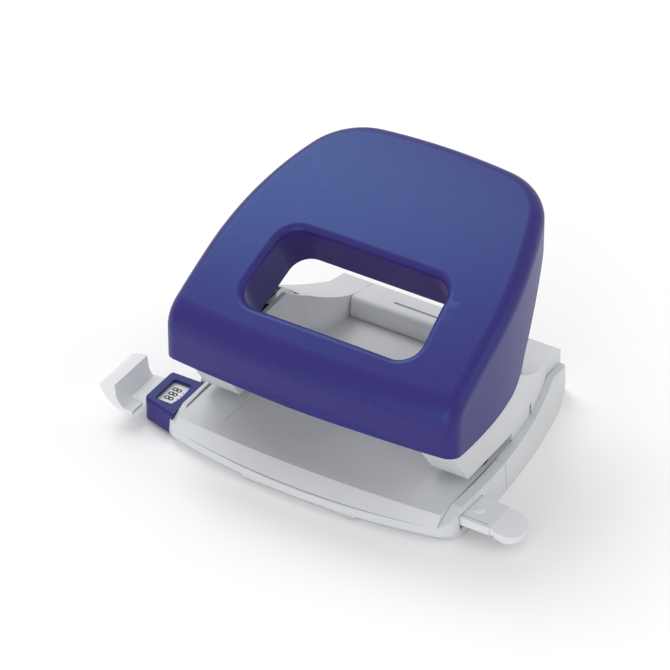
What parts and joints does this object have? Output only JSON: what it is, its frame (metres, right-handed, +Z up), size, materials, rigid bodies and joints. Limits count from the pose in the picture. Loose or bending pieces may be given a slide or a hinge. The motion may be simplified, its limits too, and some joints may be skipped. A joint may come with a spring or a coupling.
{
  "type": "hole punch",
  "caption": "Desk hole punch with a blue lever cover, finger opening, light grey base and sliding paper guide bar.",
  "frame": {"origin": "on the resting plane, halfway between the two punch axes", "axes": "+X across the punch to the finger grip of the guide bar, +Y to the back, +Z up"},
  "size_m": [0.1434, 0.0955, 0.0783],
  "materials": {
    "blue_plastic": "satin metallic blue moulded plastic",
    "grey_plastic": "light grey moulded plastic, fine grain",
    "light_plastic": "pale grey moulded plastic, smooth",
    "zinc_steel": "zinc plated steel",
    "hard_steel": "ground tool steel",
    "spring_steel": "bright spring wire",
    "cast_zinc": "grey zinc die casting",
    "label_print": "white printed strip"
  },
  "bodies": {
    "base": {"front_shell": "grey_plastic", "rear_shell": "grey_plastic", "paper_table": "grey_plastic", "chassis_plate": "zinc_steel", "die_plate": "hard_steel", "guide_block_right": "cast_zinc", "guide_block_left": "cast_zinc", "head_housing": "grey_plastic", "rear_block": "grey_plastic", "paper_stop": "grey_plastic", "frame_screws": "zinc_steel", "axle_left": "hard_steel", "axle_right": "hard_steel", "retaining_rings": "zinc_steel", "window_frame": "blue_plastic", "tray_hinge_pins": "zinc_steel"},
    "handle": {"handle_cover": "blue_plastic", "lever_arm_left": "zinc_steel", "lever_arm_right": "zinc_steel", "lever_screws": "zinc_steel"},
    "pin_left": {"punch_pin_left": "hard_steel", "pin_spring_left": "spring_steel"},
    "pin_right": {"punch_pin_right": "hard_steel", "pin_spring_right": "spring_steel"},
    "guide_bar": {"guide_bar": "light_plastic", "bar_label": "label_print"},
    "chip_tray": {"chip_tray": "grey_plastic"}
  },
  "joints": [
    {"name": "handle_hinge", "type": "hinge", "parent": "base", "child": "handle", "pos_m": [0, 0.018, 0.024], "axis": [1, 0, 0], "range_deg": [0, 16], "stiffness_Nm_per_rad": 1.3, "springref_deg": -8.59},
    {"name": "pin_left_slide", "type": "slide", "parent": "base", "child": "pin_left", "axis": [0, 0, -1], "range_m": [0, 0.0056], "deforming": ["pin_spring_left"]},
    {"name": "pin_right_slide", "type": "slide", "parent": "base", "child": "pin_right", "axis": [0, 0, -1], "range_m": [0, 0.0056], "deforming": ["pin_spring_right"]},
    {"name": "guide_bar_slide", "type": "slide", "parent": "base", "child": "guide_bar", "axis": [-1, 0, 0], "range_m": [0, 0.08]},
    {"name": "tray_hinge", "type": "hinge", "parent": "base", "child": "chip_tray", "pos_m": [0, 0.049, 0.0017], "axis": [1, 0, 0], "range_deg": [0, 75]}
  ],
  "couplings": [
    {"joint": "pin_left_slide", "follows": "handle_hinge", "m_per_rad": 0.0197},
    {"joint": "pin_right_slide", "follows": "handle_hinge", "m_per_rad": 0.0197}
  ]
}
